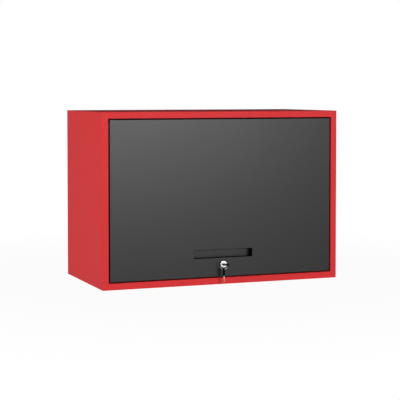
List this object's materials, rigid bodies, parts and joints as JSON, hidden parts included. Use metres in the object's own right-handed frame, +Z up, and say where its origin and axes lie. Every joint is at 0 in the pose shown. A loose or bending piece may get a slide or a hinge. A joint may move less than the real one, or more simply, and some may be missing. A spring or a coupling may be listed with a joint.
{
  "type": "wall cabinet",
  "caption": "Wall-hung sheet-steel cabinet with a top-hinged flip-up door on gas struts, recessed slot pull, keyed cam lock and bolt holes through the back.",
  "frame": {"origin": "middle of the carcass's underside", "axes": "+Z up, the door faces -Y, +Y towards the wall, +X to the right of someone facing the door"},
  "size_m": [0.7, 0.3767, 0.48],
  "materials": {
    "red_paint": "satin red powder coat on folded sheet steel",
    "charcoal_paint": "satin charcoal powder coat on folded sheet steel",
    "black_enamel": "gloss black enamel",
    "chrome": "satin chrome plate",
    "polished_steel": "ground and polished rod",
    "zinc_steel": "bright zinc plate",
    "steel_wire": "drawn steel wire",
    "nickel_brass": "nickel-plated brass",
    "black_plastic": "fine-grained black moulding",
    "black_nylon": "black nylon",
    "black_rubber": "soft black rubber"
  },
  "bodies": {
    "carcass": {"top_panel": "red_paint", "bottom_panel": "red_paint", "back_panel": "red_paint", "upper_wall_rail": "red_paint", "lower_wall_rail": "red_paint", "door_stop_channel": "red_paint", "door_bumpers": "black_rubber", "left_side_panel": "red_paint", "right_side_panel": "red_paint", "left_hinge_pin": "zinc_steel", "right_hinge_pin": "zinc_steel", "left_hinge_clip": "zinc_steel", "right_hinge_clip": "zinc_steel", "left_strut_bracket": "red_paint", "right_strut_bracket": "red_paint", "left_wall_ball_stud": "zinc_steel", "right_wall_ball_stud": "zinc_steel"},
    "door": {"door_panel": "charcoal_paint", "handle_pan": "charcoal_paint", "handle_liner": "black_plastic", "door_bracket_screws": "zinc_steel", "lock_housing": "chrome", "lock_nut": "zinc_steel", "left_door_stiffener": "charcoal_paint", "right_door_stiffener": "charcoal_paint", "left_hinge_plate": "charcoal_paint", "right_hinge_plate": "charcoal_paint", "left_hinge_bush": "black_nylon", "right_hinge_bush": "black_nylon", "left_door_bracket": "zinc_steel", "right_door_bracket": "zinc_steel", "left_door_ball_stud": "zinc_steel", "right_door_ball_stud": "zinc_steel"},
    "lock_core": {"lock_plug": "chrome", "lock_cam": "zinc_steel", "lock_cam_screw": "zinc_steel"},
    "key": {"key_blade": "nickel_brass", "key_bow": "black_plastic"},
    "hanging_keys": {"key_ring": "steel_wire", "spare_key_blade": "nickel_brass", "spare_key_bow": "black_plastic"},
    "left_cylinder": {"left_strut_tube": "black_enamel", "left_strut_gland": "black_plastic", "left_strut_end_socket": "black_plastic"},
    "left_rod": {"left_strut_rod": "polished_steel", "left_strut_piston": "black_plastic", "left_strut_rod_socket": "black_plastic"},
    "right_cylinder": {"right_strut_tube": "black_enamel", "right_strut_gland": "black_plastic", "right_strut_end_socket": "black_plastic"},
    "right_rod": {"right_strut_rod": "polished_steel", "right_strut_piston": "black_plastic", "right_strut_rod_socket": "black_plastic"}
  },
  "joints": [
    {"name": "door_lift", "type": "hinge", "parent": "carcass", "child": "door", "pos_m": [0, -0.1625, 0.447], "axis": [-1, 0, 0], "range_deg": [0, 90]},
    {"name": "lock_turn", "type": "hinge", "parent": "door", "child": "lock_core", "pos_m": [0, -0.1625, 0.056], "axis": [0, -1, 0], "range_deg": [0, 90]},
    {"name": "key_pull", "type": "slide", "parent": "lock_core", "child": "key", "axis": [0, -1, 0], "range_m": [0, 0.03]},
    {"name": "keys_hang", "type": "hinge", "parent": "key", "child": "hanging_keys", "pos_m": [-0.0062, -0.1935, 0.056], "axis": [0, -1, 0], "range_deg": [-90, 0]},
    {"name": "left_cylinder_swing", "type": "hinge", "parent": "carcass", "child": "left_cylinder", "pos_m": [-0.306, 0.05455, 0.38358], "axis": [-1, 0, 0], "range_deg": [0, 45]},
    {"name": "left_rod_swing", "type": "hinge", "parent": "door", "child": "left_rod", "pos_m": [-0.306, -0.14, 0.222], "axis": [-1, 0, 0], "range_deg": [-45, 0]},
    {"name": "right_cylinder_swing", "type": "hinge", "parent": "carcass", "child": "right_cylinder", "pos_m": [0.306, 0.05455, 0.38358], "axis": [-1, 0, 0], "range_deg": [0, 45]},
    {"name": "right_rod_swing", "type": "hinge", "parent": "door", "child": "right_rod", "pos_m": [0.306, -0.14, 0.222], "axis": [-1, 0, 0], "range_deg": [-45, 0]}
  ],
  "couplings": [
    {"joint": "keys_hang", "follows": "lock_turn", "ratio": -1},
    {"joint": "left_cylinder_swing", "follows": "door_lift", "ratio": 0.5},
    {"joint": "left_rod_swing", "follows": "door_lift", "ratio": -0.5},
    {"joint": "right_cylinder_swing", "follows": "door_lift", "ratio": 0.5},
    {"joint": "right_rod_swing", "follows": "door_lift", "ratio": -0.5}
  ]
}
